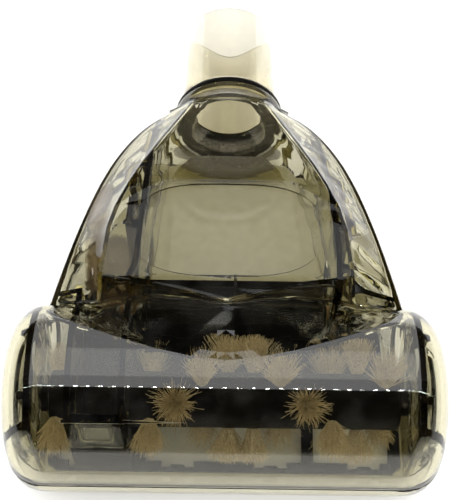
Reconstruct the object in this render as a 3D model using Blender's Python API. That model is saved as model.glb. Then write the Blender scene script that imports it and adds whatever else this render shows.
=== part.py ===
"""Vacuum turbo brush: clear two-part case, air turbine, belt and tufted roll, tilting neck.

Metres, +Z up, front (brush) towards -Y, neck towards +Y, X to the right seen from the front.
The origin is on the flat sole, on the centre line, between the brush slot and the neck.
"""
import math

import bmesh
import bpy
from mathutils import Matrix, Vector

# Case
WALL = 0.0020            # shell wall
RIB = 0.0020             # moulded inner walls
FIT = 0.0003             # gap between pieces that touch

# Neck, sized outwards from the bore that takes a 32 mm wand
BORE_RADIUS = 0.0160
SPIGOT_RADIUS = BORE_RADIUS + 0.0014
COLLAR_RADIUS = SPIGOT_RADIUS + 0.0042
BALL_RADIUS = COLLAR_RADIUS + 0.0002
SOCKET_GAP = 0.0006
SOCKET_RADIUS = BALL_RADIUS + SOCKET_GAP
SLEEVE_RADIUS = SOCKET_RADIUS + WALL
TUBE_LIP_RADIUS = BORE_RADIUS + 0.0034
TUBE_ROOT_RADIUS = BORE_RADIUS + 0.0028
TUBE_MOUTH_RADIUS = BORE_RADIUS + 0.0021
NECK_Y = 0.0650          # tilt axis
NECK_DROOP = math.radians(5.5)
BALL_FRONT = -0.0045     # along the neck from the tilt axis
BALL_REAR = 0.0014
SPIGOT_END = 0.0050
COLLAR_END = 0.0054
TUBE_END = 0.0468
PIN_RADIUS = 0.0015
MOUTH_REAR_Y = NECK_Y + 0.0044   # at the parting plane
MOUTH_FOOT_Y = NECK_Y + 0.0018   # at the underside
MOUTH_TOP_Y = NECK_Y - 0.0068

# Height of the parting plane and of the roll, turbine and neck axes
AXIS_Z = SLEEVE_RADIUS + 0.0011
ROLL_Y = -0.0590
TURBINE_SETBACK = 0.0360  # turbine axis behind the roll axis
TURBINE_Y = ROLL_Y + TURBINE_SETBACK

# Hood round the brush
HOOD_RADIUS = AXIS_Z + 0.0080
HOOD_HALF_WIDTH = 0.0790
HOOD_STRAIGHT = HOOD_HALF_WIDTH - 0.0190   # half length before the ends round off
HOOD_END_POWER = 2.9

# Bell-shaped body
BODY_HALF_WIDTH = 0.801 * HOOD_HALF_WIDTH
BODY_REAR_Y = NECK_Y - 0.0005
BODY_WIDEST_Y = -0.0230
BODY_TAPER_POWER = 0.316
SHOULDER_Z = AXIS_Z + 0.0145
SHOULDER_REAR_Z = AXIS_Z + 0.0105
SHOULDER_EDGE = 0.0020
PLATEAU_Z = AXIS_Z + 0.0337
BODY_FRONT_Y = -0.0460   # inside the hood
EYE_DIP = 0.0007         # hollow of the recess floor, none at its ends
EYE_REACH = 0.0200       # how far the cutting tool runs past the front crease

# Stadium-shaped recess on the plateau
STADIUM_HALF_LENGTH = 0.0350
STADIUM_HALF_WIDTH = 0.0193
STADIUM_Y = -0.0070
STADIUM_DEPTH = 0.0009

# Walls at the ends of the brush room and round the belt
END_WALL_X = HOOD_HALF_WIDTH - 0.0120
BELT_BOX_LEFT_X = 0.0135 - END_WALL_X
BELT_BOX_RIGHT_X = BELT_BOX_LEFT_X + 0.0185
BELT_BOX_FRONT_Y = ROLL_Y - 0.0182
BELT_BOX_REAR_Y = -0.0035
DUCT_RIGHT_X = END_WALL_X - 0.0270

# Suction slot and sole plate
SOLE_THICKNESS = 0.0018
SLOT_HALF_LENGTH = END_WALL_X - 0.0060
SLOT_FRONT_Y = ROLL_Y - 0.0150
SLOT_REAR_Y = ROLL_Y + 0.0160
SLOT_RIB_X = 0.508 * SLOT_HALF_LENGTH
SLOT_RIB_WIDTH = 0.0044
NOTCH_PITCH = 0.5656 * SLOT_HALF_LENGTH
NOTCH_WIDTH = 0.0120
NOTCH_DEPTH = 0.0024
BUMP_WIDTH = 0.0062
PLATE_HALF_WIDTH = SLOT_HALF_LENGTH + 0.0045
PLATE_FRONT_Y = SLOT_FRONT_Y - 0.0045
PLATE_REAR_Y = -0.0020
PLATE_CORNER = 0.0090

# Brush roll
CORE_RADIUS = 0.0100
CORE_HALF_LENGTH = END_WALL_X - 0.0045
TUFT_TIP_RADIUS = AXIS_Z - 0.0023  # roll axis to bristle tips
TUFT_ROOM = END_WALL_X - BELT_BOX_RIGHT_X
TUFT_PITCH = 0.0912 * TUFT_ROOM
TUFT_BASE = 0.28 * TUFT_PITCH
TUFT_FLARE = 0.484 * TUFT_PITCH
TUFT_APEX_X = BELT_BOX_RIGHT_X + 0.399 * TUFT_ROOM
LONE_TUFT_X = 0.5 * (BELT_BOX_LEFT_X - END_WALL_X)   # between the belt box and the end wall
TUFT_SIDES = 8
TUFT_TURN = math.radians(45)
ROLL_AXLE_RADIUS = 0.0025
BUSH_RADIUS = 0.0050
BUSH_LENGTH = 0.0050

# Belt drive
BELT_X = 0.5 * (BELT_BOX_LEFT_X + BELT_BOX_RIGHT_X)
BELT_WIDTH = 0.0094
BELT_THICKNESS = 0.0014
ROLL_PULLEY_RADIUS = CORE_RADIUS + 0.0025
DRIVE_PULLEY_RADIUS = 0.44 * ROLL_PULLEY_RADIUS
PULLEY_FLANGE = 0.0012

# Turbine
TURBINE_RADIUS = 0.0118
TURBINE_HUB = 0.0042
TURBINE_BLADES = 9
BLADE_THICKNESS = 0.0011
SHAFT_RADIUS = 0.0015
BEARING_RADIUS = 0.0036
BEARING_LENGTH = 0.0034

CASE_TOP = PLATEAU_Z + 0.0308    # above everything, for cutting tools
WELD = 2e-6


def material(name, colour, roughness, metallic=0.0, alpha=1.0):
    """A plain Principled material."""
    mat = bpy.data.materials.new(name)
    mat.use_nodes = True
    shader = mat.node_tree.nodes["Principled BSDF"]
    shader.inputs["Base Color"].default_value = (*colour, 1.0)
    shader.inputs["Roughness"].default_value = roughness
    shader.inputs["Metallic"].default_value = metallic
    shader.inputs["Alpha"].default_value = alpha
    return mat


def make_object(name, verts, faces):
    """A closed mesh object with its faces turned outwards."""
    mesh = bpy.data.meshes.new(name)
    mesh.from_pydata([tuple(v) for v in verts], [], faces)
    bm = bmesh.new()
    bm.from_mesh(mesh)
    bmesh.ops.recalc_face_normals(bm, faces=bm.faces)
    bm.to_mesh(mesh)
    bm.free()
    obj = bpy.data.objects.new(name, mesh)
    bpy.context.scene.collection.objects.link(obj)
    return obj


def skin_rings(name, rings):
    """Closed solid through a row of rings with the same number of points."""
    count = len(rings[0])
    verts = [point for ring in rings for point in ring]
    faces = [tuple(range(count))[::-1]]
    for row in range(len(rings) - 1):
        for i in range(count):
            j = (i + 1) % count
            a, b = row * count, (row + 1) * count
            faces.append((a + i, a + j, b + j, b + i))
    last = (len(rings) - 1) * count
    faces.append(tuple(range(last, last + count)))
    return make_object(name, verts, faces)


def prism(name, outline, bottom, top):
    """Outline in the XY plane, extruded along Z."""
    return skin_rings(name, [[(x, y, z) for x, y in outline] for z in (bottom, top)])


def box(name, low, high):
    outline = [(low[0], low[1]), (high[0], low[1]), (high[0], high[1]), (low[0], high[1])]
    return prism(name, outline, low[2], high[2])


def turned(name, profile, frame, segments=40, closed=False):
    """Turn (along, radius) points round the local X axis of a frame; closed joins last to first."""
    rings = []
    for step in range(segments):
        angle = 2 * math.pi * step / segments
        rings.append([frame @ Vector((along, radius * math.cos(angle), radius * math.sin(angle)))
                      for along, radius in profile])
    count = len(profile)
    verts, faces, index = [], [], {}
    for s, ring in enumerate(rings):
        for i, point in enumerate(ring):
            if profile[i][1] == 0.0 and s > 0:
                index[s, i] = index[0, i]
                continue
            index[s, i] = len(verts)
            verts.append(point)
    for s in range(segments):
        t = (s + 1) % segments
        for i in range(count if closed else count - 1):
            j = (i + 1) % count
            corners = [index[s, i], index[s, j], index[t, j], index[t, i]]
            face = [c for k, c in enumerate(corners) if c not in corners[:k]]
            if len(face) > 2:
                faces.append(tuple(face))
    return make_object(name, verts, faces)


def across(y, z, x=0.0):
    """Frame whose X axis runs across the brush through (x, y, z)."""
    return Matrix.Translation((x, y, z))


def cylinder(name, x0, x1, radius, y, z, segments=32):
    profile = [(x0, 0.0), (x0, radius), (x1, radius), (x1, 0.0)]
    return turned(name, profile, across(y, z), segments)


def weld(mesh):
    """Merge points that fall together and drop faces without area."""
    bm = bmesh.new()
    bm.from_mesh(mesh)
    bmesh.ops.remove_doubles(bm, verts=bm.verts, dist=WELD)
    bmesh.ops.dissolve_degenerate(bm, edges=bm.edges, dist=0.5 * WELD)
    bm.to_mesh(mesh)
    bm.free()


def boolean(obj, cutter, operation):
    """Cut, join or intersect, then drop the tool solid."""
    modifier = obj.modifiers.new("Boolean", 'BOOLEAN')
    modifier.operation = operation
    modifier.solver = 'EXACT'
    modifier.object = cutter
    graph = bpy.context.evaluated_depsgraph_get()
    mesh = bpy.data.meshes.new_from_object(obj.evaluated_get(graph))
    weld(mesh)
    obj.modifiers.clear()
    old = obj.data
    obj.data = mesh
    bpy.data.meshes.remove(old)
    bpy.data.objects.remove(cutter)
    return obj


def cut(obj, *cutters):
    for cutter in cutters:
        boolean(obj, cutter, 'DIFFERENCE')
    return obj


def join(obj, *others):
    for other in others:
        boolean(obj, other, 'UNION')
    return obj


def finish(obj, mat, origin=(0.0, 0.0, 0.0), angle=30):
    """Place the origin, smooth the round faces and give the piece its material."""
    obj.data.transform(Matrix.Translation(-Vector(origin)))
    obj.location = origin
    obj.data.shade_smooth()
    obj.data.set_sharp_from_angle(angle=math.radians(angle))
    obj.data.materials.clear()
    obj.data.materials.append(mat)
    return obj


def blend(points, value):
    """Straight-line reading of a curve given by a few (place, size) points."""
    if value <= points[0][0]:
        return points[0][1]
    for (x0, y0), (x1, y1) in zip(points, points[1:]):
        if value <= x1:
            return y0 + (y1 - y0) * (value - x0) / (x1 - x0)
    return points[-1][1]


def offset_path(path, distance):
    """Points of a flat path moved to its left, mitred at the bends."""
    moved = []
    for i, point in enumerate(path):
        here = Vector(point)
        ahead = Vector(path[min(i + 1, len(path) - 1)]) - here
        behind = here - Vector(path[max(i - 1, 0)])
        a = (behind if behind.length else ahead).normalized()
        b = (ahead if ahead.length else behind).normalized()
        middle = (a + b).normalized()
        reach = distance / max(0.4, middle.dot(a))
        moved.append((here.x - middle.y * reach, here.y + middle.x * reach))
    return moved


def hood(inset):
    """Round-ended barrel over the brush, about the roll axis."""
    radius = HOOD_RADIUS - inset
    end = HOOD_HALF_WIDTH - inset - HOOD_STRAIGHT
    half = []
    steps = 8
    for step in range(steps + 1):
        angle = 0.5 * math.pi * step / steps
        bulge = max(0.0, math.cos(angle)) ** (2 / HOOD_END_POWER)
        size = math.sin(angle) ** (2 / HOOD_END_POWER)
        half.append((HOOD_STRAIGHT + end * bulge, radius * size))
    half[0] = (half[0][0], 0.0)
    half[-1] = (HOOD_STRAIGHT, radius)
    profile = [(-along, size) for along, size in half] + half[::-1]
    return turned("hood", profile, across(ROLL_Y, AXIS_Z), 48)


def body_half_width(y):
    """Half width of the bell outline at y."""
    reach = max(0.0, (BODY_REAR_Y - y) / (BODY_REAR_Y - BODY_WIDEST_Y))
    return BODY_HALF_WIDTH * min(1.03, reach ** BODY_TAPER_POWER)


# Heights and half widths of the raised middle, along Y
CREST = [(-0.060, PLATEAU_Z), (0.014, PLATEAU_Z), (0.030, PLATEAU_Z - 0.0020),
         (0.045, PLATEAU_Z - 0.0057), (0.060, PLATEAU_Z - 0.0092)]
BROW_HALF = [(-0.060, 0.0460), (-0.023, 0.0450), (-0.004, 0.0430), (0.006, 0.0400), (0.020, 0.0340),
             (0.060, 0.0130)]
BROW_DROP = [(-0.060, 0.0004), (-0.004, 0.0006), (0.014, 0.0022), (0.060, 0.0020)]
FOOT_DROP = [(-0.060, 0.0170), (-0.023, 0.0150), (-0.006, 0.0060), (0.004, 0.0022), (0.060, 0.0014)]


def body_section(y, inset):
    """Ring across the body at y: side walls, shoulders and the raised plateau."""
    half = body_half_width(y) - inset
    shoulder = blend([(0.030, SHOULDER_Z), (0.060, SHOULDER_REAR_Z)], y) - inset
    crest = blend(CREST, y) - inset
    brow = min(blend(BROW_HALF, y), 0.78 * half) - 0.6 * inset
    brow_z = crest - blend(BROW_DROP, y)
    foot_z = max(brow_z - blend(FOOT_DROP, y), shoulder + 0.0006)
    edge = SHOULDER_EDGE
    right = [(half, inset), (half, shoulder - edge), (half - 0.3 * edge, shoulder - 0.3 * edge),
             (half - edge, shoulder), (brow + 0.0016, foot_z), (brow, brow_z),
             (0.66 * brow, crest - 0.0002), (0.33 * brow, crest)]
    left = [(-x, z) for x, z in reversed(right)]
    return [(x, y, z) for x, z in right + [(0.0, crest)] + left]


def body(inset):
    rear = BODY_REAR_Y - 0.0044
    stations = [BODY_FRONT_Y, -0.034, BODY_WIDEST_Y, -0.014, -0.006, 0.003, 0.014, 0.024, 0.034,
                0.043, 0.050, 0.0555, rear]
    stations = [y - (inset if y == rear else 0.0) for y in stations]
    return skin_rings("body", [body_section(y, inset) for y in stations])


# Eye-shaped recess: share of the half width, y of the front crease, then y and height over the
# plateau of the valley and of the step top
EYE_HALF_WIDTH = 0.810 * HOOD_HALF_WIDTH
EYE_COLUMNS = [(0.000, -0.0590, -0.0353, -0.0042, -0.0348, -0.0020),
               (0.188, -0.0576, -0.0322, -0.0070, -0.0318, -0.0009),
               (0.375, -0.0546, -0.0296, -0.0104, -0.0292, 0.0000),
               (0.562, -0.0506, -0.0286, -0.0142, -0.0276, 0.0004),
               (0.734, -0.0462, -0.0292, -0.0176, -0.0258, 0.0008),
               (0.860, -0.0424, -0.0290, -0.0187, -0.0282, 0.0008),
               (1.000, -0.0372, -0.0290, -0.0150, -0.0284, 0.0008)]


def eye_cutter(inset):
    """Tool for the recess behind the hood: a ruled floor and a steep rear step."""
    columns = [(-c[0],) + c[1:] for c in reversed(EYE_COLUMNS[1:])] + EYE_COLUMNS
    stretch = EYE_HALF_WIDTH + inset
    rings = []
    for share, front_y, valley_y, valley_z, step_y, step_z in columns:
        valley_z += PLATEAU_Z
        step_z += PLATEAU_Z
        front_z = AXIS_Z + math.sqrt(max(0.0, HOOD_RADIUS ** 2 - (front_y - ROLL_Y) ** 2))
        bend_y = max(0.55 * front_y + 0.45 * valley_y, BODY_FRONT_Y)
        part = (bend_y - front_y) / (valley_y - front_y)
        bend_z = front_z + part * (valley_z - front_z) - (EYE_DIP if abs(share) < 1.0 else 0.0)
        slope = (front_z - bend_z) / (front_y - bend_y)
        reach_y = front_y - EYE_REACH
        reach_z = min(front_z + slope * (reach_y - front_y), CASE_TOP - 0.010)
        floor = [(reach_y, reach_z), (front_y, front_z), (bend_y, bend_z),
                 (valley_y, valley_z), (step_y, step_z), (step_y, CASE_TOP)]
        floor = offset_path(floor, -inset)
        floor[-1] = (floor[-2][0], CASE_TOP)
        side = share * stretch
        rings.append([(side, y, z) for y, z in floor] + [(side, floor[0][0], CASE_TOP)])
    return skin_rings("eye", rings)


def facet_cutter(inset):
    """Tool for the sloping triangle in front of the plateau."""
    back_y, tip_y = -0.0250, -0.0385
    drop = 0.25 * (back_y - tip_y)
    side = 0.0640
    z = PLATEAU_Z - inset + 0.00005
    ring = [(back_y, z), (tip_y, z - drop), (tip_y, CASE_TOP), (back_y, CASE_TOP)]
    return skin_rings("facet", [[(x, y, height) for y, height in ring] for x in (-side, side)])


def sleeve(inset, rear):
    """Round mouth that holds the ball of the neck."""
    front, radius = NECK_Y - 0.015, SLEEVE_RADIUS - inset
    profile = [(front, 0.0), (front, radius), (rear, radius), (rear, 0.0)]
    frame = Matrix.Translation((0.0, 0.0, AXIS_Z)) @ Matrix.Rotation(math.radians(90), 4, 'Z')
    return turned("sleeve", profile, frame, 48)


def case_solid(inset):
    """The whole case as one solid, drawn in by inset all round."""
    solid = hood(inset)
    join(solid, body(inset))
    cut(solid, eye_cutter(inset), facet_cutter(inset))
    join(solid, sleeve(inset, MOUTH_REAR_Y + (0.02 if inset else 0.001)))
    cut(solid, box("below", (-0.1, -0.12, -0.05), (0.1, 0.12, inset)))
    return solid


def stadium_outline(half_length, half_width, y, steps=10):
    """Superellipse with nearly straight long sides."""
    points = []
    for step in range(4 * steps):
        angle = 2 * math.pi * step / (4 * steps)
        c, s = math.cos(angle), math.sin(angle)
        points.append((math.copysign(half_length * abs(c) ** 0.62, c),
                       y + math.copysign(half_width * abs(s) ** 0.90, s)))
    return points


def wall(path, bottom=0.0, top=CASE_TOP, thickness=RIB):
    """Upright wall that follows a path of (x, y) points, square at the ends."""
    left, right = offset_path(path, 0.5 * thickness), offset_path(path, -0.5 * thickness)
    return prism("wall", left + right[::-1], bottom, top)


# Paths of the moulded inner walls, seen from above
DUCT_LEFT = [(BELT_BOX_RIGHT_X, -0.0265), (BELT_BOX_RIGHT_X + 0.0024, -0.0205),
             (-0.0276, NECK_Y - 0.0160), (-0.0266, NECK_Y - 0.0075)]
DUCT_RIGHT = [(DUCT_RIGHT_X, -0.0360), (DUCT_RIGHT_X, -0.0120), (0.0345, NECK_Y - 0.0210),
              (0.0322, NECK_Y - 0.0120)]
CROSS_RIGHT = [(DUCT_RIGHT_X, -0.0205), (END_WALL_X - 0.0030, -0.0245)]
BELT_BOX = [(0.0010 - END_WALL_X, -0.0240), (BELT_BOX_LEFT_X, -0.0230),
            (BELT_BOX_LEFT_X, BELT_BOX_FRONT_Y), (BELT_BOX_RIGHT_X, BELT_BOX_FRONT_Y)]
END_WALL = [(END_WALL_X - 0.0020, -0.0230), (END_WALL_X, -0.0300), (END_WALL_X, ROLL_Y - 0.0200),
            (HOOD_HALF_WIDTH - 0.0030, ROLL_Y - 0.0200)]
POCKET_WIDTH = 0.0045
POCKET_SPANS = ((0.0230, 0.0124), (-0.0034, 0.0076))
NUB_Y = (ROLL_Y + 0.0230, ROLL_Y + 0.0120, ROLL_Y - 0.0110)


def mirrored(path):
    return [(-x, y) for x, y in path]


def pocket_paths():
    """Two L-shaped ribs outside each duct wall."""
    paths = []
    for side, duct in ((-1, DUCT_LEFT), (1, DUCT_RIGHT)):
        along = sorted((y, x) for x, y in duct)
        for corner, end in POCKET_SPANS:
            out = side * POCKET_WIDTH
            paths.append([(blend(along, corner), corner), (blend(along, corner) + out, corner),
                          (blend(along, end) + out, end)])
    return paths


def wall_group(paths, bottom, top):
    """Several walls as one solid."""
    solid = wall(paths[0], bottom, top)
    return join(solid, *[wall(path, bottom, top) for path in paths[1:]])


def roll_seats():
    """Holes in the end walls for the bushes of the roll."""
    spans = [(END_WALL_X - 0.004, END_WALL_X + 0.0022), (-END_WALL_X - 0.0022, 0.004 - END_WALL_X)]
    return [cylinder("seat", low, high, BUSH_RADIUS + FIT, ROLL_Y, AXIS_Z) for low, high in spans]


def roll_room():
    """Hole in the belt box for the roll to pass through."""
    return cylinder("room", BELT_BOX_LEFT_X - RIB, BELT_BOX_RIGHT_X + RIB, CORE_RADIUS + 0.0008,
                    ROLL_Y, AXIS_Z)


def turbine_seats():
    return [cylinder("seat", x - 0.003, x + 0.003, BEARING_RADIUS + FIT, TURBINE_Y, AXIS_Z)
            for x in (BELT_BOX_RIGHT_X, DUCT_RIGHT_X)]


def neck_pin_seat():
    reach = SLEEVE_RADIUS + 0.003
    return cylinder("seat", -reach, reach, PIN_RADIUS + FIT, NECK_Y, AXIS_Z, 16)


def mouth_cut():
    """Slanted end of the neck mouth, which lets the neck tilt up."""
    ring = [(MOUTH_TOP_Y, CASE_TOP), (MOUTH_TOP_Y, AXIS_Z + 0.0270),
            (MOUTH_TOP_Y + 0.0007, AXIS_Z + 0.0225), (MOUTH_TOP_Y + 0.0028, AXIS_Z + 0.0140),
            (MOUTH_TOP_Y + 0.0063, AXIS_Z + 0.0070), (MOUTH_REAR_Y, AXIS_Z), (MOUTH_FOOT_Y, 0.0),
            (MOUTH_FOOT_Y, -0.01), (0.12, -0.01), (0.12, CASE_TOP)]
    return skin_rings("mouth", [[(x, y, z) for y, z in ring] for x in (-0.05, 0.05)])


def plate_outline(inset=0.0):
    """Outline of the sole plate, drawn in by inset."""
    half = PLATE_HALF_WIDTH - inset
    front, rear = PLATE_FRONT_Y + inset, PLATE_REAR_Y - inset
    c = PLATE_CORNER
    right = [(half - 0.4 * c, front), (half, front + 0.4 * c), (half, -0.0410), (half - 0.0042, -0.0365),
             (half - 0.0058, rear - 1.8 * c), (half - 1.6 * c, rear)]
    return right + mirrored(right)[::-1]


def chute():
    """Floor that rises into the bore of the neck."""
    foot_y, top_y = 0.0500, 0.0577
    foot_half, top_half = 0.0255, 0.0150
    low, high = 0.5 * WALL, AXIS_Z - BORE_RADIUS
    rings = []
    for y, half, z in ((foot_y, foot_half, WALL + 0.0008), (top_y, top_half, high)):
        rings.append([(-half, y, low), (half, y, low), (half, y, z), (-half, y, z)])
    return skin_rings("chute", rings)


def half_shell(name, low, high, walls):
    """Part of the case between two heights, hollowed out round its inner walls."""
    shell = case_solid(0.0)
    shell.name = name
    cut(shell, mouth_cut())
    boolean(shell, box("half", (-0.1, -0.12, low), (0.1, 0.12, high)), 'INTERSECT')
    cavity = case_solid(WALL)
    cut(cavity, walls)
    return cut(shell, cavity)


def shells(clear):
    """Outer case, parted at the axis plane."""
    paths = [DUCT_LEFT, BELT_BOX + DUCT_LEFT[:1], DUCT_RIGHT, CROSS_RIGHT, END_WALL,
             mirrored(END_WALL)] + pocket_paths()
    for side in (-1, 1):
        for y in NUB_Y:
            paths.append([(side * END_WALL_X, y), (side * (END_WALL_X + 0.0030), y)])
    walls = wall_group(paths, AXIS_Z - 0.001, CASE_TOP)
    upper = half_shell("upper_shell", AXIS_Z + 0.5 * FIT, CASE_TOP, walls)
    cut(upper, *roll_seats(), *turbine_seats(), neck_pin_seat(), roll_room())
    cut(upper, prism("stadium", stadium_outline(STADIUM_HALF_LENGTH, STADIUM_HALF_WIDTH, STADIUM_Y),
                     PLATEAU_Z - STADIUM_DEPTH, CASE_TOP))

    start = PLATE_REAR_Y + 0.0015
    paths = [[(blend(sorted((y, x) for x, y in duct), start), start)] + duct[2:]
             for duct in (DUCT_LEFT, DUCT_RIGHT)]
    walls = wall_group(paths + [END_WALL, mirrored(END_WALL)], -0.01, AXIS_Z + 0.001)
    lower = half_shell("lower_shell", -0.001, AXIS_Z - 0.5 * FIT, walls)
    cut(lower, *roll_seats(), neck_pin_seat())
    cut(lower, prism("opening", plate_outline(-FIT), -0.01, WALL + 0.001))
    join(lower, chute())
    for obj in (upper, lower):
        finish(obj, clear)
    return upper, lower


def upright(name, profile, x, y, segments=24):
    """Turn (height, radius) points round an upright axis."""
    frame = Matrix.Translation((x, y, 0.0)) @ Matrix.Rotation(math.radians(-90), 4, 'Y')
    return turned(name, profile, frame, segments)


def sole_plate(black):
    """Plate round the suction slot, with the lower walls of the belt box and the turbine seat."""
    plate = prism("sole_plate", plate_outline(), 0.0, SOLE_THICKNESS)
    edges = [-SLOT_HALF_LENGTH, -SLOT_RIB_X, SLOT_RIB_X, SLOT_HALF_LENGTH]
    half_rib = 0.5 * SLOT_RIB_WIDTH
    for left, right in zip(edges, edges[1:]):
        low = (left + (half_rib if left > -SLOT_HALF_LENGTH else 0.0), SLOT_FRONT_Y, -0.01)
        high = (right - (half_rib if right < SLOT_HALF_LENGTH else 0.0), SLOT_REAR_Y, 0.01)
        cut(plate, box("slot", low, high))
    for place in (-1.5, -0.5, 0.5, 1.5):
        x = place * NOTCH_PITCH
        half, bump = 0.5 * NOTCH_WIDTH, 0.5 * BUMP_WIDTH
        y = SLOT_FRONT_Y
        outline = [(x - half, y + 0.001), (x - half, y - NOTCH_DEPTH), (x - bump, y - NOTCH_DEPTH),
                   (x - 0.7 * bump, y - 0.6 * NOTCH_DEPTH), (x + 0.7 * bump, y - 0.6 * NOTCH_DEPTH),
                   (x + bump, y - NOTCH_DEPTH), (x + half, y - NOTCH_DEPTH), (x + half, y + 0.001)]
        cut(plate, prism("notch", outline, -0.01, 0.01))
    parting = AXIS_Z - 0.5 * FIT
    low = 0.5 * SOLE_THICKNESS
    belt_walls = [(BELT_BOX_LEFT_X, BELT_BOX_REAR_Y - 0.012), (BELT_BOX_LEFT_X, BELT_BOX_FRONT_Y),
                  (BELT_BOX_RIGHT_X, BELT_BOX_FRONT_Y), (BELT_BOX_RIGHT_X, BELT_BOX_REAR_Y)]
    walls = wall(belt_walls, low, parting)
    join(walls, wall([(DUCT_RIGHT_X, -0.0340), (DUCT_RIGHT_X, BELT_BOX_REAR_Y)], low, parting))
    join(plate, walls)
    join(plate, box("floor", (BELT_BOX_LEFT_X, SLOT_FRONT_Y - 0.001, 0.0),
                    (-SLOT_RIB_X, SLOT_REAR_Y + 0.001, SOLE_THICKNESS)))
    cut(plate, roll_room(), *turbine_seats())
    return finish(plate, black)


def brush_roll(black, steel, bush_mat):
    """Core, belt pulley, stub axles and the bushes that carry them."""
    origin = (0.0, ROLL_Y, AXIS_Z)
    length = CORE_HALF_LENGTH
    stub = ROLL_AXLE_RADIUS + FIT
    depth = 0.010
    profile = [(-length + depth, 0.0), (-length + depth, stub), (-length, stub),
               (-length, CORE_RADIUS - 0.0006), (-length + 0.0006, CORE_RADIUS),
               (length - 0.0006, CORE_RADIUS), (length, CORE_RADIUS - 0.0006), (length, stub),
               (length - depth, stub), (length - depth, 0.0)]
    finish(turned("roll_core", profile, across(ROLL_Y, AXIS_Z), 30), black, origin)

    half = 0.5 * BELT_WIDTH + 0.0004
    inner, outer = CORE_RADIUS + FIT, ROLL_PULLEY_RADIUS
    rim = outer + PULLEY_FLANGE
    profile = [(-half - 0.001, inner), (-half - 0.001, rim), (-half, rim), (-half, outer), (half, outer),
               (half, rim), (half + 0.001, rim), (half + 0.001, inner)]
    ring = turned("roll_pulley", profile, across(ROLL_Y, AXIS_Z, BELT_X), 32, closed=True)
    finish(ring, black, origin)

    for side, word in ((-1, "left"), (1, "right")):
        start, end = side * (length - depth + FIT), side * (END_WALL_X + 0.0006)
        axle = cylinder("roll_axle_" + word, min(start, end), max(start, end), ROLL_AXLE_RADIUS,
                        ROLL_Y, AXIS_Z, 24)
        finish(axle, steel, origin)
        low = side * (END_WALL_X - 0.5 * BUSH_LENGTH - 0.0010)
        high = side * (END_WALL_X + 0.5 * BUSH_LENGTH - 0.0010)
        bore = ROLL_AXLE_RADIUS + FIT
        profile = [(low, bore), (low, BUSH_RADIUS), (high, BUSH_RADIUS), (high, bore)]
        bush = turned("roll_bush_" + word, profile, across(ROLL_Y, AXIS_Z), 24, closed=True)
        finish(bush, bush_mat, origin)


def tuft(name, x, angle):
    """Flared bundle of bristles that stands out of the core."""
    start, end = CORE_RADIUS + FIT, TUFT_TIP_RADIUS
    rows = [(start, TUFT_BASE), (start + 0.5 * (end - start), 0.5 * (TUFT_BASE + TUFT_FLARE) - 0.0004),
            (end - 0.0015, TUFT_FLARE), (end, 0.72 * TUFT_FLARE)]
    turn = Matrix.Rotation(angle, 3, 'X')
    rings = []
    for out, size in rows:
        ring = []
        for i in range(TUFT_SIDES):
            a = 2 * math.pi * i / TUFT_SIDES
            point = turn @ Vector((size * math.cos(a), size * math.sin(a), out))
            ring.append(point + Vector((x, ROLL_Y, AXIS_Z)))
        rings.append(ring)
    return skin_rings(name, rings)


def tufts(tan):
    """Two V-shaped helical rows, opposite each other, that leave the belt box free."""
    lean = math.radians(-60)
    places = []
    for row in (0, 1):
        for step in range(6):
            angle = lean + math.pi * row + TUFT_TURN * step
            reach = TUFT_PITCH * (step + 0.5)
            places.append((TUFT_APEX_X + reach, angle))
            if step < 4:
                places.append((TUFT_APEX_X - reach, angle))
        places.append((LONE_TUFT_X, lean + math.pi * row + 3 * TUFT_TURN))
    for number, (x, angle) in enumerate(places, 1):
        name = "tuft_{:02d}".format(number)
        finish(tuft(name, x, angle), tan, (0.0, ROLL_Y, AXIS_Z))


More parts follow.
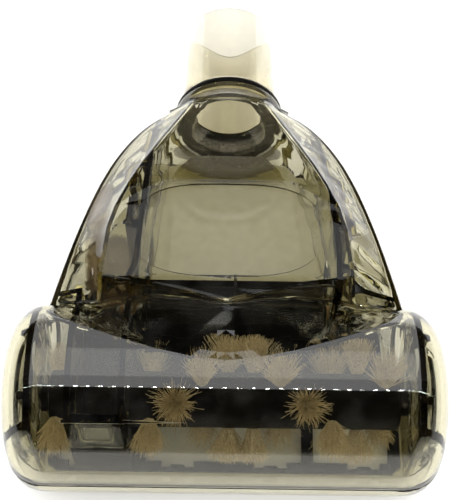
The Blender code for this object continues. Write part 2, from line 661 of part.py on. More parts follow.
def turbine(black, steel, bronze):
    """Bladed wheel, shaft, bearings and drive pulley."""
    origin = (0.0, TURBINE_Y, AXIS_Z)
    left = BELT_BOX_RIGHT_X + 0.5 * BEARING_LENGTH + 0.0030
    right = DUCT_RIGHT_X - 0.5 * BEARING_LENGTH - 0.0012
    outline = []
    blade_side = (TURBINE_HUB, 0.6 * TURBINE_RADIUS, TURBINE_RADIUS - 0.0004)
    corners = [(radius, -0.5) for radius in blade_side] + [(radius, 0.5) for radius in blade_side[::-1]]
    for blade in range(TURBINE_BLADES):
        for radius, lead in corners:
            sweep = 0.55 * ((radius - TURBINE_HUB) / (TURBINE_RADIUS - TURBINE_HUB)) ** 2
            angle = 2 * math.pi * blade / TURBINE_BLADES + sweep + lead * BLADE_THICKNESS / radius
            outline.append((radius * math.cos(angle), radius * math.sin(angle)))
    rings = [[(x, TURBINE_Y + u, AXIS_Z + v) for u, v in outline] for x in (left + 0.0004, right - 0.0004)]
    wheel = skin_rings("turbine_wheel", rings)
    disc = 0.0012
    for x in (left, 0.5 * (left + right) - 0.5 * disc, right - disc):
        join(wheel, cylinder("disc", x, x + disc, TURBINE_RADIUS, TURBINE_Y, AXIS_Z, 27))
    cut(wheel, cylinder("bore", left - 0.01, right + 0.01, SHAFT_RADIUS + FIT, TURBINE_Y, AXIS_Z, 12))
    finish(wheel, black, origin)

    pulley_half = 0.5 * BELT_WIDTH + 0.0004
    shaft_left = BELT_X - pulley_half - 0.0016
    shaft_right = DUCT_RIGHT_X + 0.5 * BEARING_LENGTH + 0.0006
    finish(cylinder("turbine_shaft", shaft_left, shaft_right, SHAFT_RADIUS, TURBINE_Y, AXIS_Z, 12),
           steel, origin)

    bore = SHAFT_RADIUS + FIT
    rim = DRIVE_PULLEY_RADIUS + PULLEY_FLANGE
    profile = [(-pulley_half - 0.001, bore), (-pulley_half - 0.001, rim), (-pulley_half, rim),
               (-pulley_half, DRIVE_PULLEY_RADIUS), (pulley_half, DRIVE_PULLEY_RADIUS),
               (pulley_half, rim), (pulley_half + 0.001, rim), (pulley_half + 0.001, bore)]
    pulley = turned("drive_pulley", profile, across(TURBINE_Y, AXIS_Z, BELT_X), 24, closed=True)
    finish(pulley, black, origin)

    for word, x in (("left", BELT_BOX_RIGHT_X), ("right", DUCT_RIGHT_X)):
        low, high = x - 0.5 * BEARING_LENGTH, x + 0.5 * BEARING_LENGTH
        profile = [(low, bore), (low, BEARING_RADIUS), (high, BEARING_RADIUS), (high, bore)]
        bearing = turned("turbine_bearing_" + word, profile, across(TURBINE_Y, AXIS_Z), 20, closed=True)
        finish(bearing, bronze, origin)


def belt_loop(extra):
    """Outline in the YZ plane of a belt wound round both pulleys."""
    big, small = ROLL_PULLEY_RADIUS + FIT + extra, DRIVE_PULLEY_RADIUS + FIT + extra
    lean = math.asin((big - small) / TURBINE_SETBACK)
    points = []
    steps = 22
    for i in range(steps + 1):
        angle = 0.5 * math.pi - lean + (math.pi + 2 * lean) * i / steps
        points.append((ROLL_Y + big * math.cos(angle), AXIS_Z + big * math.sin(angle)))
    steps = 12
    for i in range(steps + 1):
        angle = -0.5 * math.pi + lean + (math.pi - 2 * lean) * i / steps
        points.append((TURBINE_Y + small * math.cos(angle), AXIS_Z + small * math.sin(angle)))
    return points


def drive_belt(rubber):
    low, high = BELT_X - 0.5 * BELT_WIDTH, BELT_X + 0.5 * BELT_WIDTH
    belt = skin_rings("drive_belt", [[(x, y, z) for y, z in belt_loop(BELT_THICKNESS)]
                                     for x in (low, high)])
    cut(belt, skin_rings("hole", [[(x, y, z) for y, z in belt_loop(0.0)]
                                  for x in (low - 0.005, high + 0.005)]))
    return finish(belt, rubber)


def neck_frame():
    """Frame whose X axis runs along the neck, from the tilt axis outwards."""
    return (Matrix.Translation((0.0, NECK_Y, AXIS_Z)) @ Matrix.Rotation(-NECK_DROOP, 4, 'X')
            @ Matrix.Rotation(math.radians(90), 4, 'Z'))


def neck(clear, black):
    """Ball with pins, black collar and the tube that takes the wand."""
    origin = (0.0, NECK_Y, AXIS_Z)
    frame = neck_frame()

    def on_ball(along):
        return (along, math.sqrt(BALL_RADIUS ** 2 - along ** 2))

    outside = [on_ball(BALL_FRONT + (BALL_REAR - BALL_FRONT) * i / 4) for i in range(5)]
    profile = outside + [(BALL_REAR, SPIGOT_RADIUS), (SPIGOT_END, SPIGOT_RADIUS),
                         (SPIGOT_END, BORE_RADIUS), (BALL_FRONT, BORE_RADIUS)]
    knuckle = turned("neck_knuckle", profile, frame, 40, closed=True)
    for side in (-1, 1):
        start, end = side * (BALL_RADIUS - 0.0010), side * (SLEEVE_RADIUS - 0.0001)
        join(knuckle, cylinder("pin", min(start, end), max(start, end), PIN_RADIUS, NECK_Y, AXIS_Z, 16))
    finish(knuckle, clear, origin)

    bore = SPIGOT_RADIUS + FIT
    front = BALL_REAR + FIT
    bevel = 0.0012
    profile = [(front, bore), (front, COLLAR_RADIUS - 0.4 * bevel), (front + 0.4 * bevel, COLLAR_RADIUS),
               (COLLAR_END - 1.6 * bevel, COLLAR_RADIUS),
               (COLLAR_END - 0.5 * bevel, COLLAR_RADIUS - 0.6 * bevel),
               (COLLAR_END, COLLAR_RADIUS - 1.8 * bevel), (COLLAR_END, bore)]
    finish(turned("neck_collar", profile, frame, 40, closed=True), black, origin)

    start = COLLAR_END + FIT
    profile = [(start, BORE_RADIUS), (start, TUBE_LIP_RADIUS), (start + 0.0012, TUBE_LIP_RADIUS),
               (start + 0.0018, TUBE_ROOT_RADIUS), (TUBE_END - 0.0006, TUBE_MOUTH_RADIUS),
               (TUBE_END, TUBE_MOUTH_RADIUS - 0.0005), (TUBE_END, BORE_RADIUS + 0.0004),
               (TUBE_END - 0.0008, BORE_RADIUS)]
    finish(turned("wand_tube", profile, frame, 40, closed=True), clear, origin)


def build():
    for obj in list(bpy.data.objects):
        bpy.data.objects.remove(obj, do_unlink=True)
    clear = material("smoke_clear_plastic", (0.62, 0.58, 0.45), 0.08, alpha=0.35)
    black = material("black_plastic", (0.020, 0.019, 0.018), 0.35)
    rubber = material("belt_rubber", (0.016, 0.016, 0.017), 0.6)
    tan = material("tan_bristle", (0.62, 0.52, 0.33), 0.8)
    steel = material("bright_steel", (0.62, 0.62, 0.62), 0.3, 1.0)
    bronze = material("bearing_bronze", (0.48, 0.32, 0.16), 0.4, 1.0)
    bush = material("grey_bush", (0.25, 0.25, 0.24), 0.5)
    shells(clear)
    sole_plate(black)
    brush_roll(black, steel, bush)
    tufts(tan)
    turbine(black, steel, bronze)
    drive_belt(rubber)
    neck(clear, black)


build()
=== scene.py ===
# %% [markdown]
# # A clear turbo brush
# A suction head for a vacuum cleaner: air turns a small turbine, a belt carries that turn to a roll
# with bristle tufts, and the smoke-coloured case lets you watch it work. The mechanism was drawn as
# solids first. Here each solid gets its finish, the tufts get real bristles, and the dust that has
# settled inside the case is added.

# %% The frame
import math
import random

import bpy
from mathutils import Matrix, Vector


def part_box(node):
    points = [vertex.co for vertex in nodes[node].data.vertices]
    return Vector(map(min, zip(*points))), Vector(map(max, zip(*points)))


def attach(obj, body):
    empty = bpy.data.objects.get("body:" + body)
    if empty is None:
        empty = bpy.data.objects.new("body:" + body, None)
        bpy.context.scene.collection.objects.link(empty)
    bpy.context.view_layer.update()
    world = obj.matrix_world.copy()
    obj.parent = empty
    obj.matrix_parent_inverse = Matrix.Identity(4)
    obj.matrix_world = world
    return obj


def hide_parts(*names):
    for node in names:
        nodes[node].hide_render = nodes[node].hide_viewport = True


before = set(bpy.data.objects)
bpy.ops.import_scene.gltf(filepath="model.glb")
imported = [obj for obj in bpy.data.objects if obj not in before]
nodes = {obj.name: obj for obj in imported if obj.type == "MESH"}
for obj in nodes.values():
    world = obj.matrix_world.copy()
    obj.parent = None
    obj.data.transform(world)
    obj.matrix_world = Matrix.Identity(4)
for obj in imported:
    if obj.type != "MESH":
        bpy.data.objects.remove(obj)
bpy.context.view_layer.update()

# %% [markdown]
# ## The camera
# The picture looks down on the brush from in front. Height, distance and tilt were judged from renders
# beside the photo: about 60 degrees over the table, half a metre away, and turned by under a degree. A
# short distance gives the strong perspective, so distance and focal length go together.

# %% Camera
AIM = Vector((0.0, 0.001, 0.030))
ELEVATION = math.radians(60)
DISTANCE = 0.492
FOCAL_LENGTH = 92.8
CAMERA_ROLL = math.radians(0.8)
camera_data = bpy.data.cameras.new("camera")
camera_data.lens = FOCAL_LENGTH
camera_data.clip_start = 0.01
camera = bpy.data.objects.new("camera", camera_data)
bpy.context.scene.collection.objects.link(camera)
back = Vector((0.0, -math.cos(ELEVATION), math.sin(ELEVATION)))
camera.location = AIM + DISTANCE * back
turn = (-back).to_track_quat("-Z", "Y").to_matrix() @ Matrix.Rotation(CAMERA_ROLL, 3, "Z")
camera.rotation_euler = turn.to_euler()
bpy.context.scene.camera = camera
bpy.context.scene.view_settings.view_transform = "Standard"
print("camera at", [round(v, 3) for v in camera.location])

# %% [markdown]
# ## Small helpers
# Materials are node trees, and the same few moves come back in each: make a node, join two sockets,
# read the piece's own coordinates.

# %% Node helpers
def new_material(name):
    """A material with its node tree, its shader and its output."""
    mat = bpy.data.materials.new(name)
    mat.use_nodes = True
    tree = mat.node_tree
    return mat, tree, tree.nodes["Principled BSDF"], tree.nodes["Material Output"]


def node(tree, kind, **values):
    """Add a node and set its sockets by name."""
    made = tree.nodes.new(kind)
    for key, value in values.items():
        made.inputs[key].default_value = value
    return made


def noise(tree, scale, detail=4.0, stretch=(1, 1, 1), roughness=0.5):
    """Noise in object space, in waves of 1/scale metres."""
    place = tree.nodes.new("ShaderNodeTexCoord")
    mapping = tree.nodes.new("ShaderNodeMapping")
    mapping.inputs["Scale"].default_value = stretch
    made = node(tree, "ShaderNodeTexNoise", Scale=scale, Detail=detail, Roughness=roughness)
    tree.links.new(place.outputs["Object"], mapping.inputs["Vector"])
    tree.links.new(mapping.outputs["Vector"], made.inputs["Vector"])
    return made.outputs["Fac"]


def remap(tree, value, low, high, to_low=0.0, to_high=1.0):
    """Stretch a value from one range to another, clamped."""
    made = tree.nodes.new("ShaderNodeMapRange")
    made.inputs["From Min"].default_value = low
    made.inputs["From Max"].default_value = high
    made.inputs["To Min"].default_value = to_low
    made.inputs["To Max"].default_value = to_high
    tree.links.new(value, made.inputs["Value"])
    return made.outputs["Result"]


def ramp(tree, value, stops):
    """Colours along a value, as (place, colour) stops."""
    made = tree.nodes.new("ShaderNodeValToRGB")
    elements = made.color_ramp.elements
    while len(elements) < len(stops):
        elements.new(0.5)
    for element, (place, colour) in zip(elements, stops):
        element.position = place
        element.color = (*colour, 1.0)
    tree.links.new(value, made.inputs["Fac"])
    return made.outputs["Color"]


def math_node(tree, operation, *values, clamp=True):
    """One sum on one to three values, each a socket or a number."""
    made = tree.nodes.new("ShaderNodeMath")
    made.operation = operation
    made.use_clamp = clamp
    for socket, value in zip(made.inputs, values):
        if isinstance(value, (int, float)):
            socket.default_value = value
        else:
            tree.links.new(value, socket)
    return made.outputs["Value"]


def patch(tree, centre, reach, edge=0.35):
    """1 inside an ellipsoid in object space and 0 outside it, with a soft edge."""
    place = tree.nodes.new("ShaderNodeTexCoord")
    mapping = tree.nodes.new("ShaderNodeMapping")
    mapping.inputs["Location"].default_value = [-c / r for c, r in zip(centre, reach)]
    mapping.inputs["Scale"].default_value = [1 / r for r in reach]
    length = tree.nodes.new("ShaderNodeVectorMath")
    length.operation = "LENGTH"
    tree.links.new(place.outputs["Object"], mapping.inputs["Vector"])
    tree.links.new(mapping.outputs["Vector"], length.inputs[0])
    return remap(tree, length.outputs["Value"], 1.0, 1.0 - edge)


def bump(tree, shader, height, distance, strength=1.0):
    """Turn a height into surface relief."""
    made = node(tree, "ShaderNodeBump", Strength=strength, Distance=distance)
    tree.links.new(height, made.inputs["Height"])
    tree.links.new(made.outputs["Normal"], shader.inputs["Normal"])


def dress(names, mat):
    """Give solids a material in place of their plain one."""
    for name in names:
        solid = nodes[name]
        solid.data.materials.clear()
        solid.data.materials.append(mat)
    print(mat.name, "->", ", ".join(names))


# %% [markdown]
# The mesh helpers deselect everything first, because an operator acts on all that is selected and the
# solids arrive selected.

# %% Mesh helpers
def start(kind, name, **values):
    """Add a primitive on its own, in the row frame."""
    bpy.ops.object.select_all(action="DESELECT")
    getattr(bpy.ops.mesh, "primitive_%s_add" % kind)(**values)
    piece = bpy.context.active_object
    piece.name = name
    piece.data.name = name
    return piece


MERGE_WITHIN = 0.000005
FLAT_WITHIN = math.radians(0.3)


def refine(name, body, mat, slot, edge, angle=30, cuts=0, curves=()):
    """A copy of a solid with merged points, settled on its true curves, its edges rounded."""
    bpy.ops.object.select_all(action="DESELECT")
    piece = bpy.data.objects.new(name + "_fine", nodes[name].data.copy())
    bpy.context.scene.collection.objects.link(piece)
    piece.select_set(True)
    bpy.context.view_layer.objects.active = piece
    bpy.ops.object.mode_set(mode="EDIT")
    bpy.ops.mesh.select_all(action="SELECT")
    bpy.ops.mesh.remove_doubles(threshold=MERGE_WITHIN)
    if cuts:
        bpy.ops.mesh.subdivide(number_cuts=cuts)
    else:
        bpy.ops.mesh.dissolve_limited(angle_limit=FLAT_WITHIN)
    bpy.ops.object.mode_set(mode="OBJECT")
    for curve in curves:
        places = list(curve(piece))
        for vertex, place in zip(piece.data.vertices, places):
            vertex.co = place
        piece.data.update()
    rounding = piece.modifiers.new("edges", "BEVEL")
    rounding.width = edge
    rounding.segments = 2
    rounding.angle_limit = math.radians(angle)
    bpy.ops.object.modifier_apply(modifier="edges")
    bpy.ops.object.shade_smooth_by_angle(angle=math.radians(angle + 6))
    settle(piece, body, mat, slot, name)
    print(piece.name, len(piece.data.polygons), "faces")
    return piece


def settle(piece, body, mat, slot, *stands_for):
    """Bake the place into the mesh, then tie the finished piece to its body."""
    bpy.ops.object.select_all(action="DESELECT")
    piece.select_set(True)
    bpy.context.view_layer.objects.active = piece
    bpy.ops.object.transform_apply(location=True, rotation=True, scale=True)
    piece.data.materials.clear()
    piece.data.materials.append(mat)
    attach(piece, body)
    if stands_for:
        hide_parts(*stands_for)


# %% [markdown]
# ## Smoke-coloured clear plastic
# The case is moulded in clear plastic with a warm smoke tint. Real walls are solid, so the colour
# belongs inside the wall as absorption: a thin wall stays pale, and a rib seen along its height goes
# nearly black, which is what draws the dark lines over the case. The surface is smooth, with a little
# haze in patches and hairline scratches. A real wall bends the light that reaches the roll. A shadow
# ray can't bend and the wall would stop it, so here it passes the surface straight, slightly tinted.
#
# A film makes the surface scatter light. It stands for dust inside the left wall and for dirt in the
# chute before the neck and on the front of its ball, with places and colours that were judged. A much
# thinner film on the top of the hood is a painted reflection: a grey veil that stands for a lamp
# mirrored there.

# %% Clear plastic
PLASTIC_IOR = 1.49
# Strength of the thin grey film on top of the hood, a painted reflection of a lamp.
CROWN_PAINTED_REFLECTION = 0.070


def smoke_plastic(name, colour, density, haze, dirt=()):
    """Clear plastic; dirt is a list of (centre, reach, amount, least between clumps, colour)."""
    mat, tree, shader, output = new_material(name)
    shader.inputs["IOR"].default_value = PLASTIC_IOR
    wear = noise(tree, 260, 5.0)
    film = remap(tree, noise(tree, 75, 6.0, roughness=0.65), 0.45, 0.80, 0.0, haze)
    tint = ramp(tree, wear, [(0.3, (1.0, 1.0, 1.0)), (0.8, (0.93, 0.93, 0.92))])
    # The marked top of the hood gets the thin grey film, a painted reflection.
    painted_reflection_crown = tree.nodes.new("ShaderNodeAttribute")
    painted_reflection_crown.attribute_name = "painted_reflection_crown"
    painted_reflection = math_node(tree, "MULTIPLY", painted_reflection_crown.outputs["Fac"], CROWN_PAINTED_REFLECTION)
    film = math_node(tree, "MAXIMUM", film, painted_reflection)
    for centre, reach, amount, least, dust in dirt:
        clump = remap(tree, noise(tree, 620, 8.0, roughness=0.75), 0.40, 0.62, least, 1.0)
        spread = math_node(tree, "MULTIPLY", patch(tree, centre, reach), clump)
        here = math_node(tree, "MULTIPLY", spread, amount)
        film = math_node(tree, "MAXIMUM", film, here)
        mix = tree.nodes.new("ShaderNodeMix")
        mix.data_type = "RGBA"
        mix.inputs["B"].default_value = (*dust, 1.0)
        tree.links.new(remap(tree, spread, 0.0, 0.08), mix.inputs["Factor"])
        tree.links.new(tint, mix.inputs["A"])
        tint = mix.outputs["Result"]
    tree.links.new(tint, shader.inputs["Base Color"])
    tree.links.new(math_node(tree, "SUBTRACT", 1.0, film), shader.inputs["Transmission Weight"])
    gloss = remap(tree, wear, 0.35, 0.75, 0.0, 0.02)
    tree.links.new(gloss, shader.inputs["Roughness"])
    scratch = noise(tree, 900, 2.0, stretch=(1.0, 0.05, 1.0))
    bump(tree, shader, scratch, 0.000001, 0.4)
    absorb = node(tree, "ShaderNodeVolumeAbsorption", Color=(*colour, 1.0), Density=density)
    tree.links.new(absorb.outputs["Volume"], output.inputs["Volume"])
    let_through = node(tree, "ShaderNodeBsdfTransparent", Color=(0.98, 0.975, 0.96, 1.0))
    path = tree.nodes.new("ShaderNodeLightPath")
    shadow = tree.nodes.new("ShaderNodeMixShader")
    tree.links.new(path.outputs["Is Shadow Ray"], shadow.inputs["Fac"])
    tree.links.new(shader.outputs["BSDF"], shadow.inputs[1])
    tree.links.new(let_through.outputs["BSDF"], shadow.inputs[2])
    tree.links.new(shadow.outputs["Shader"], output.inputs["Surface"])
    return mat


CASE_TINT = (0.54, 0.48, 0.08)
CASE_DENSITY = 165.0
CASE_HAZE = 0.008
TUBE_TINT = (0.64, 0.53, 0.09)
TUBE_DENSITY = 140.0
TUBE_HAZE = 0.02
FLUFF = (0.20, 0.155, 0.095)
SOOT = (0.220, 0.214, 0.224)
LID_DIRT = [((-0.0460, 0.0100, 0.0400), (0.0070, 0.0130, 0.0120), 0.75, 0.15, FLUFF),
            ((-0.0400, -0.0100, 0.0400), (0.0120, 0.0240, 0.0160), 0.40, 0.15, FLUFF)]
FLOOR_DIRT = [((0.0, 0.0550, 0.0120), (0.0260, 0.0090, 0.0097), 0.70, 0.60, SOOT),
              ((-0.0450, 0.0000, 0.0020), (0.0120, 0.0240, 0.0100), 0.55, 0.15, FLUFF)]
BALL_DIRT = [((0.0, 0.0620, 0.0255), (0.0300, 0.0045, 0.0300), 0.55, 0.40, SOOT)]
LID = smoke_plastic("smoke_lid", CASE_TINT, CASE_DENSITY, CASE_HAZE, LID_DIRT)
TRAY = smoke_plastic("smoke_tray", CASE_TINT, CASE_DENSITY, CASE_HAZE, FLOOR_DIRT)
KNUCKLE = smoke_plastic("smoke_knuckle", CASE_TINT, CASE_DENSITY, CASE_HAZE, BALL_DIRT)
TUBE = smoke_plastic("smoke_tube", TUBE_TINT, TUBE_DENSITY, TUBE_HAZE)
print("clear plastics:", ", ".join(mat.name for mat in (LID, TRAY, KNUCKLE, TUBE)))

# %% [markdown]
# ## Black plastic
# The sole plate, the roll and the turbine are moulded in black. They carry a fine grain, a slight
# gloss and patches of thin dust, so the base colour is a ramp and not one flat black.

# %% Black plastic and rubber
def black_plastic(name, dust, roughness, grain):
    """Near-black moulded surface with patches of dust and a fine grain."""
    mat, tree, shader, output = new_material(name)
    patches = noise(tree, 180, 6.0)
    colour = ramp(tree, patches, [(0.35, (0.0025, 0.0022, 0.0020)), (0.62, (0.0050, 0.0043, 0.0035)),
                                  (0.80, dust)])
    tree.links.new(colour, shader.inputs["Base Color"])
    gloss = remap(tree, patches, 0.3, 0.8, roughness, roughness + 0.25)
    tree.links.new(gloss, shader.inputs["Roughness"])
    shader.inputs["Specular IOR Level"].default_value = 0.05
    bump(tree, shader, noise(tree, 2600, 3.0), grain)
    return mat


BLACK = black_plastic("black_plastic", (0.014, 0.010, 0.007), 0.28, 0.00002)
RUBBER = black_plastic("belt_rubber", (0.022, 0.021, 0.020), 0.50, 0.00003)
COLLAR = black_plastic("collar_black", (0.016, 0.016, 0.017), 0.30, 0.000008)
print("blacks:", ", ".join(mat.name for mat in (BLACK, RUBBER, COLLAR)))

# %% [markdown]
# ## Finer copies of the solids
# The solids are flat facets with knife edges. Moulded plastic has a small radius on each edge, and it
# is that radius which catches a line of light, so each main piece is copied, its loose triangles are
# merged, and its edges are rounded by a few tenths of a millimetre. On the two shells the points of the
# facets are first moved to the curves that the facets stand for, by about half a millimetre at most.

# %% The case's true curves
ROLL_Y, AXIS_Z = -0.0590, 0.0255
HOOD_RADIUS, HOOD_STRAIGHT, HOOD_END, HOOD_POWER = 0.0335, 0.0600, 0.0190, 2.9
WALL = 0.0020
BODY_HALF, BODY_REAR, BODY_WIDEST, BODY_POWER = 0.06328, 0.0645, -0.0230, 0.316
BODY_MOST = 1.03
STATIONS = (-0.046, -0.034, -0.023, -0.014, -0.006, 0.003, 0.014, 0.024, 0.034, 0.043, 0.050, 0.0555,
            0.0601)
SIDES_FRONT, SIDES_REAR = -0.034, 0.060
WALL_BEGINS, WALL_FULLY = 0.80, 0.96
FLAT_SOLE = 0.001
NEAR_SOFT_END, NEAR_BARREL, ON_CURVE = 0.955, 0.9930, 0.99999
CROWN_FRONT, CROWN_REAR = -0.0098, 0.0225
CROWN_WITHIN, CROWN_PAST_STRAIGHT, CROWN_FACING = 0.0005, 0.012, 0.985


def ease(low, high, value):
    """0 below low, 1 above high, and an S-curve between."""
    share = min(1.0, max(0.0, (value - low) / (high - low)))
    return share * share * (3.0 - 2.0 * share)


def half_width(y):
    """Half width of the case's bell outline."""
    reach = max(0.0, (BODY_REAR - y) / (BODY_REAR - BODY_WIDEST))
    return BODY_HALF * min(BODY_MOST, reach ** BODY_POWER)


def chord_width(y):
    """The same outline as the solid has it, straight between its sections."""
    for front, rear in zip(STATIONS, STATIONS[1:]):
        if front <= y <= rear:
            share = (y - front) / (rear - front)
            return (1.0 - share) * half_width(front) + share * half_width(rear)
    return half_width(y)


def round_hood(piece):
    """Points of the facets round the roll, moved out to the true barrel and its soft ends.

    The sole stays flat, so points near it keep their height.
    """
    for vertex in piece.data.vertices:
        x, y, z = vertex.co
        radius = math.hypot(y - ROLL_Y, z - AXIS_Z)
        beyond = max(0.0, abs(x) - HOOD_STRAIGHT)
        scale = 1.0
        for inset in (0.0, WALL):
            level = ((beyond / (HOOD_END - inset)) ** HOOD_POWER
                     + (radius / (HOOD_RADIUS - inset)) ** HOOD_POWER)
            if (NEAR_SOFT_END if beyond else NEAR_BARREL) < level < ON_CURVE:
                scale = level ** (-1.0 / HOOD_POWER)
        side = math.copysign(HOOD_STRAIGHT + beyond * scale, x) if beyond else x
        height = AXIS_Z + (z - AXIS_Z) * scale if z > FLAT_SOLE else z
        yield Vector((side, ROLL_Y + (y - ROLL_Y) * scale, height))


def round_sides(piece):
    """Side walls moved out from the chords between the sections to the bell curve."""
    for vertex in piece.data.vertices:
        x, y, z = vertex.co
        if SIDES_FRONT < y < SIDES_REAR:
            near = ease(WALL_BEGINS, WALL_FULLY, abs(x) / chord_width(y))
            x *= 1.0 + near * (half_width(y) / chord_width(y) - 1.0)
        yield Vector((x, y, z))


def mark_painted_reflection(piece):
    """Mark the faces on top of the hood that carry the painted reflection, a thin grey film for a
    mirrored lamp.
    """
    painted_reflection_crown = piece.data.attributes.new("painted_reflection_crown", "FLOAT", "FACE")
    for face, mark in zip(piece.data.polygons, painted_reflection_crown.data):
        out = Vector((0.0, face.center.y - ROLL_Y, face.center.z - AXIS_Z))
        on_barrel = abs(out.length - HOOD_RADIUS) < CROWN_WITHIN
        between_ends = abs(face.center.x) < HOOD_STRAIGHT + CROWN_PAST_STRAIGHT
        on_top = CROWN_FRONT < out.y < CROWN_REAR
        outside = face.normal.dot(out.normalized()) > CROWN_FACING
        mark.value = 1.0 if on_barrel and between_ends and on_top and outside else 0.0


# %% [markdown]
# Each call names the solid, its body, its finish and the radius of its edges. Only edges sharper than
# the angle are rounded. The lid's angle is wide, so that the crease in its roof is shaded smoothly.

# %% Rounded edges
CURVES = (round_hood, round_sides)
lid = refine("upper_shell", "case", LID, "clear_plastic", 0.00030, angle=52, cuts=3, curves=CURVES)
# The top of the hood is marked for its painted reflection.
mark_painted_reflection(lid)
refine("lower_shell", "case", TRAY, "clear_plastic", 0.00025, cuts=3, curves=CURVES)
refine("neck_knuckle", "knuckle", KNUCKLE, "clear_plastic", 0.00025)
refine("wand_tube", "tube", TUBE, "clear_plastic", 0.00035)
refine("neck_collar", "knuckle", COLLAR, "black_plastic", 0.00040, angle=18)
for name, body in (("sole_plate", "case"), ("roll_core", "roll"), ("roll_pulley", "roll"),
                   ("turbine_wheel", "turbine"), ("drive_pulley", "turbine")):
    refine(name, body, BLACK, "black_plastic", 0.00020)
refine("drive_belt", "case", RUBBER, "belt_rubber", 0.00030)

# %% [markdown]
# The picture shows dark upright lines in the ends of the hood. What makes them can't be seen. As a
# guess, a clear wall is put across each end, outside the roll's bearing: seen from above it is looked
# at edge-on, and that darkens the ends. No solid stands behind these two walls, and their rims run
# into both shells.

# %% Walls in the ends of the hood
END_WALL_RADIUS, END_WALL_THICKNESS, END_WALL_X = 0.0222, 0.0016, 0.0722
for side, label in ((-1, "left"), (1, "right")):
    wall = start("cylinder", "end_wall_" + label, vertices=72, radius=END_WALL_RADIUS,
                 depth=END_WALL_THICKNESS, location=(side * END_WALL_X, ROLL_Y, AXIS_Z),
                 rotation=(0, math.radians(90), 0))
    bpy.ops.object.shade_smooth_by_angle(angle=math.radians(40))
    settle(wall, "case", LID, "clear_plastic")
    print(wall.name, "radius", END_WALL_RADIUS)

# %% [markdown]
# ## Axles, bearings and bushes
# The small turned parts keep the shape of their solids and only get a finish. The steel has fine
# lines along it. The bushes reuse the black plastic with greyer dust, so they are near-black with grey
# patches.

# %% Metals and bushes
def metal(name, colour, roughness, stretch):
    """Bare metal with fine lines, which a stretch of under 1 draws out along an axis."""
    mat, tree, shader, output = new_material(name)
    shader.inputs["Metallic"].default_value = 1.0
    lines = noise(tree, 1500, 3.0, stretch=stretch)
    shade = ramp(tree, lines, [(0.3, tuple(0.75 * c for c in colour)), (0.7, colour)])
    tree.links.new(shade, shader.inputs["Base Color"])
    tree.links.new(remap(tree, lines, 0.3, 0.7, roughness, roughness + 0.15), shader.inputs["Roughness"])
    return mat


STEEL = metal("bright_steel", (0.62, 0.61, 0.60), 0.22, (0.05, 1, 1))
BRONZE = metal("bearing_bronze", (0.48, 0.31, 0.15), 0.35, (1, 1, 1))
GREY = black_plastic("grey_bush", (0.20, 0.19, 0.17), 0.45, 0.00002)
dress(["roll_axle_left", "roll_axle_right", "turbine_shaft"], STEEL)
dress(["turbine_bearing_left", "turbine_bearing_right"], BRONZE)
dress(["roll_bush_left", "roll_bush_right"], GREY)

# %% [markdown]
# ## Bristles
# Each tuft is a pinch of tan bristle on the roll, tight at the root and splayed and frayed at the tip.
# One bristle is a thin four-sided cone, cut at two heights and bent. Copies of it make a fan for one
# tuft, and three such tufts are made so that neighbours differ.

# %% One bristle and a fan of them
BRISTLE_LENGTH, BRISTLE_SAG = 0.0128, 0.0020
BRISTLE_ROOT, BRISTLE_TIP = 0.00013, 0.00006
PINCH_RADIUS = 0.0021
GOLDEN_ANGLE = 2.39996
STRANDS = 420


def bristle(name, length, sag):
    """A thin bent cone that stands on the origin along Z."""
    piece = start("cone", name, vertices=4, radius1=BRISTLE_ROOT, radius2=BRISTLE_TIP, depth=length,
                  end_fill_type="NGON", location=(0, 0, 0.5 * length))
    bpy.ops.object.mode_set(mode="EDIT")
    for place in (0.45, 0.75):
        bpy.ops.mesh.select_all(action="SELECT")
        bpy.ops.mesh.bisect(plane_co=(0, 0, place * length), plane_no=(0, 0, 1))
    bpy.ops.object.mode_set(mode="OBJECT")
    bpy.ops.object.transform_apply(location=True)
    for vertex in piece.data.vertices:
        vertex.co.x += sag * (vertex.co.z / length) ** 2
    return piece


def tuft_design(name, seed, count, splay):
    """A fan of bristles with its root on the origin and its tips along Z."""
    dice = random.Random(seed)
    strand = bristle("strand", BRISTLE_LENGTH, BRISTLE_SAG)
    strands = []
    for number in range(count):
        share = math.sqrt((number + 0.5) / count)
        around = number * GOLDEN_ANGLE
        root = PINCH_RADIUS * share
        lean = splay * share ** 1.1 * dice.uniform(0.45, 1.35)
        copy = bpy.data.objects.new("strand_%03d" % number, strand.data.copy())
        bpy.context.scene.collection.objects.link(copy)
        size = dice.uniform(0.76, 1.02)
        around += dice.uniform(-0.5, 0.5)
        copy.data.transform(Matrix.Translation((root * math.cos(around), root * math.sin(around), 0))
                            @ Matrix.Rotation(around, 4, "Z") @ Matrix.Rotation(lean, 4, "Y")
                            @ Matrix.Rotation(dice.uniform(0, 6.28), 4, "Z") @ Matrix.Scale(size, 4))
        strands.append(copy)
    bpy.data.objects.remove(strand)
    bpy.ops.object.select_all(action="DESELECT")
    for copy in strands:
        copy.select_set(True)
    bpy.context.view_layer.objects.active = strands[0]
    bpy.ops.object.join()
    strands[0].name = name
    print(name, len(strands[0].data.polygons), "faces")
    return strands[0]


DESIGNS = [tuft_design("tuft_tight", 3, STRANDS, 0.34), tuft_design("tuft_open", 5, STRANDS, 0.46),
           tuft_design("tuft_frayed", 8, STRANDS, 0.58)]

# %% [markdown]
# The bristles are dull and tan. Their tone varies over less than a millimetre, so neighbours differ.

# %% Bristle finish
def bristle_material():
    """Dull tan fibre with a fine variation in tone."""
    mat, tree, shader, output = new_material("tan_bristle")
    tone = noise(tree, 1400, 2.0)
    colour = ramp(tree, tone, [(0.30, (0.42, 0.33, 0.19)), (0.50, (0.70, 0.58, 0.37)),
                               (0.72, (0.90, 0.82, 0.62))])
    tree.links.new(colour, shader.inputs["Base Color"])
    shader.inputs["Roughness"].default_value = 0.65
    return mat


BRISTLE = bristle_material()
print("bristle finish:", BRISTLE.name)

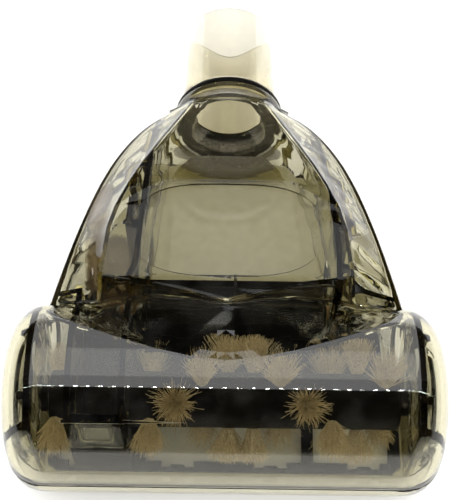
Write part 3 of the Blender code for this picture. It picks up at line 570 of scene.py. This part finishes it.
# %% [markdown]
# The tufts stand in two V-shaped rows round the roll. Each solid tuft says where its bundle is: the
# line from the roll axis to the middle of its points gives the direction, and the piece is turned to
# it. The designs alternate, but four tufts that stand close to a wall get the tight one. Even so, some
# of their bristles run into the case.

# %% Tufts round the roll
AXIS = Vector((0.0, ROLL_Y, AXIS_Z))
BY_A_WALL = (10, 11, 19, 22)
DESIGN_ORDER = (0, 1, 2, 1)
ROOT_HEIGHT = 0.0101
for number in range(1, 23):
    solid = "tuft_%02d" % number
    low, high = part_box(solid)
    middle = 0.5 * (low + high)
    mesh = nodes[solid].data
    centre = sum((v.co for v in mesh.vertices), Vector()) / len(mesh.vertices)
    out = Vector((0.0, centre.y - AXIS.y, centre.z - AXIS.z)).normalized()
    dice = random.Random(100 + number)
    design = DESIGNS[0 if number in BY_A_WALL else DESIGN_ORDER[number % 4]]
    piece = bpy.data.objects.new("bristles_%02d" % number, design.data.copy())
    bpy.context.scene.collection.objects.link(piece)
    twist = Matrix.Rotation(dice.uniform(0, 6.28), 4, "Z")
    aim = out.to_track_quat("Z", "X").to_matrix().to_4x4()
    root = Vector((middle.x, AXIS.y, AXIS.z)) + ROOT_HEIGHT * out
    piece.data.transform(Matrix.Translation(root) @ aim @ twist)
    settle(piece, "roll", BRISTLE, "bristle", solid)
for design in DESIGNS:
    bpy.data.objects.remove(design)
print("tufts:", number)

# %% [markdown]
# ## The table and the light
# The brush lies on plain white. This light is a stage light and not a real room. Dull surfaces and the
# floor are lit evenly from all sides. Reflections, and what is seen through the clear plastic, show a
# dark room with one pale panel overhead and a row of small lamps, which the hood mirrors as dots.

# %% Floor
def white_paper():
    """Dull white without any gloss."""
    mat, tree, shader, output = new_material("white_paper")
    shader.inputs["Base Color"].default_value = (0.90, 0.90, 0.90, 1.0)
    shader.inputs["Roughness"].default_value = 0.9
    shader.inputs["Specular IOR Level"].default_value = 0.0
    return mat


FLOOR_SIZE, FLOOR_DROP = 3.0, 0.0002
floor = start("plane", "floor", size=FLOOR_SIZE, location=(0, 0, -FLOOR_DROP))
floor.data.materials.append(white_paper())
print("floor:", floor.name, FLOOR_SIZE, "m across")

# %% [markdown]
# A direction in the world is read as a place on a flat ceiling: its slope along the brush and its
# offset across it. The panel is a range of slopes, and each lamp row is a thin strip cut into dots.

# %% World
EVEN_LIGHT = 1.8
PANEL = (0.07, 0.84, 1.1)
PANEL_HALF_ACROSS = 0.45
LED_PITCH = 0.011
LED_LEVEL = 90.0
LED_ROWS = ((-0.16, 0.018),)
HORIZON = (0.10, 0.02, 0.02, 0.15)


def studio(panel, half_across, leds):
    """Even light for the scene; reflections see a dark room with a pale panel and rows of lamps.

    panel is (least slope, greatest slope, brightness); leds holds one (slope, thickness) for each row.
    """
    world = bpy.data.worlds.new("studio")
    bpy.context.scene.world = world
    world.use_nodes = True
    tree = world.node_tree
    even = tree.nodes["Background"]
    even.inputs["Color"].default_value = (1.0, 1.0, 1.0, 1.0)
    even.inputs["Strength"].default_value = EVEN_LIGHT
    place = tree.nodes.new("ShaderNodeTexCoord")
    split = tree.nodes.new("ShaderNodeSeparateXYZ")
    tree.links.new(place.outputs["Generated"], split.inputs["Vector"])
    across, along, up = (split.outputs[axis] for axis in "XYZ")
    height = math_node(tree, "MAXIMUM", up, 0.02, clamp=False)
    slope = math_node(tree, "DIVIDE", along, height, clamp=False)
    offset = math_node(tree, "DIVIDE", across, height, clamp=False)
    aside = math_node(tree, "ABSOLUTE", offset, clamp=False)
    horizon = remap(tree, up, *HORIZON)
    low, high, level = panel
    inside = math_node(tree, "MULTIPLY", remap(tree, slope, low - 0.015, low + 0.015),
                       remap(tree, slope, high + 0.03, high - 0.03))
    inside = math_node(tree, "MULTIPLY", inside,
                       remap(tree, aside, half_across + 0.1, half_across - 0.1))
    total = math_node(tree, "MULTIPLY_ADD", inside, level, horizon, clamp=False)
    wave = math_node(tree, "PINGPONG", offset, 0.5 * LED_PITCH, clamp=False)
    dot = remap(tree, wave, 0.16 * LED_PITCH, 0.10 * LED_PITCH)
    for place_y, thickness in leds:
        row = math_node(tree, "MULTIPLY",
                        remap(tree, slope, place_y - 0.5 * thickness, place_y - 0.4 * thickness),
                        remap(tree, slope, place_y + 0.5 * thickness, place_y + 0.4 * thickness))
        spot = math_node(tree, "MULTIPLY", row, dot)
        total = math_node(tree, "MULTIPLY_ADD", spot, LED_LEVEL, total, clamp=False)
    room = node(tree, "ShaderNodeBackground", Color=(0.97, 0.99, 1.0, 1.0))
    tree.links.new(total, room.inputs["Strength"])
    path = tree.nodes.new("ShaderNodeLightPath")
    sharp = math_node(tree, "MAXIMUM", path.outputs["Is Glossy Ray"],
                      path.outputs["Is Transmission Ray"])
    pick = tree.nodes.new("ShaderNodeMixShader")
    tree.links.new(sharp, pick.inputs["Fac"])
    tree.links.new(even.outputs["Background"], pick.inputs[1])
    tree.links.new(room.outputs["Background"], pick.inputs[2])
    tree.links.new(pick.outputs["Shader"], tree.nodes["World Output"].inputs["Surface"])


studio(PANEL, PANEL_HALF_ACROSS, LED_ROWS)
print("light:", EVEN_LIGHT, "even, with", len(LED_ROWS), "row of lamps to reflect")
